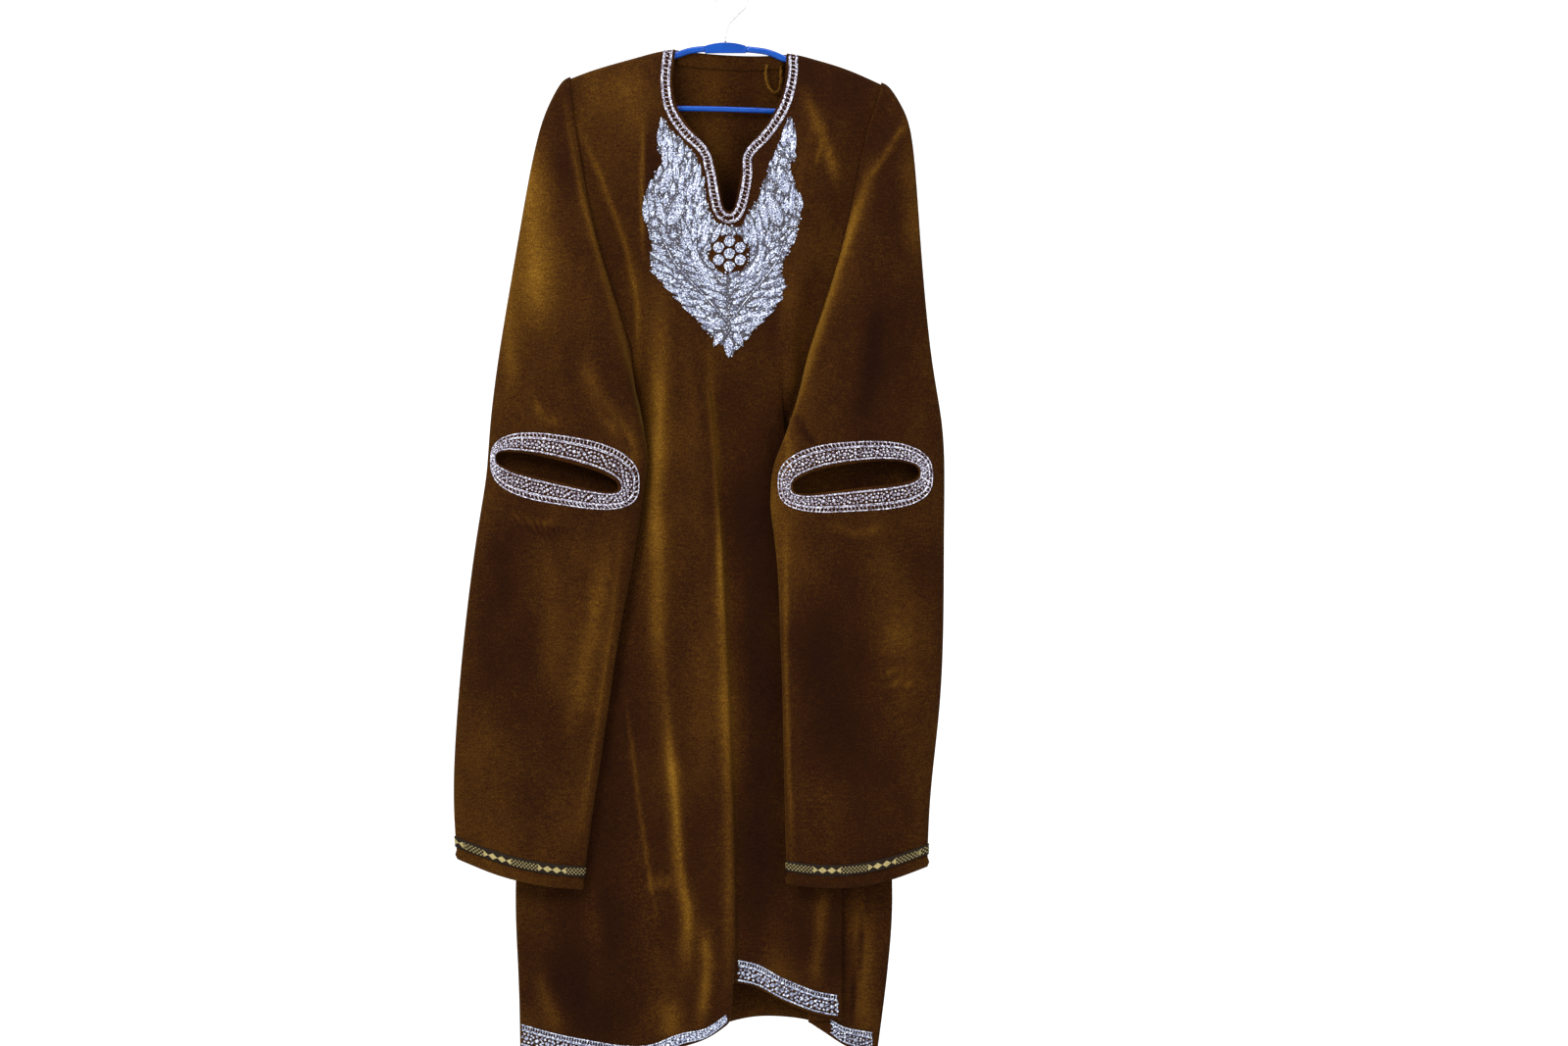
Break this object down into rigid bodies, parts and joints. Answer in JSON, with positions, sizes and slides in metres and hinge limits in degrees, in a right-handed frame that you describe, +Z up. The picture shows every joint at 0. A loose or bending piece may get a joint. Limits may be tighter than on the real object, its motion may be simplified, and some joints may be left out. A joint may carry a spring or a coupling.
{
  "type": "pheran on a hanger",
  "caption": "Long loose velvet robe with wide sleeves, hand slits and raised metal-thread embroidery, hanging on a tube hanger with a hook.",
  "frame": {"origin": "inner top of the hook, where the rail bears", "axes": "+Z up, +X to the right as seen from the front, the front faces -Y"},
  "size_m": [0.5926, 0.0767, 1.3111],
  "materials": {
    "velvet": "brown velvet pile with a golden sheen",
    "tilla": "silver metal thread, couched",
    "gold_ribbon": "woven gold and brown ribbon",
    "blue_plastic": "glossy",
    "steel": "polished wire"
  },
  "bodies": {
    "root": {"front": "velvet", "back": "velvet", "sleeve_left": "velvet", "sleeve_right": "velvet", "back_neck_facing": "velvet", "hanging_loop": "velvet", "neck_braid": "tilla", "breast_embroidery": "tilla", "breast_rosette": "tilla", "slit_border_left": "tilla", "slit_border_right": "tilla", "cuff_ribbon_left": "gold_ribbon", "cuff_ribbon_right": "gold_ribbon", "hem_border_front_left": "tilla", "hem_border_front_middle": "tilla", "hem_border_front_right": "tilla", "hem_border_back": "tilla", "hanger_arm_left": "blue_plastic", "hanger_arm_right": "blue_plastic", "hanger_bar": "blue_plastic", "hanger_plate": "blue_plastic", "hanger_hook": "steel"}
  },
  "joints": []
}
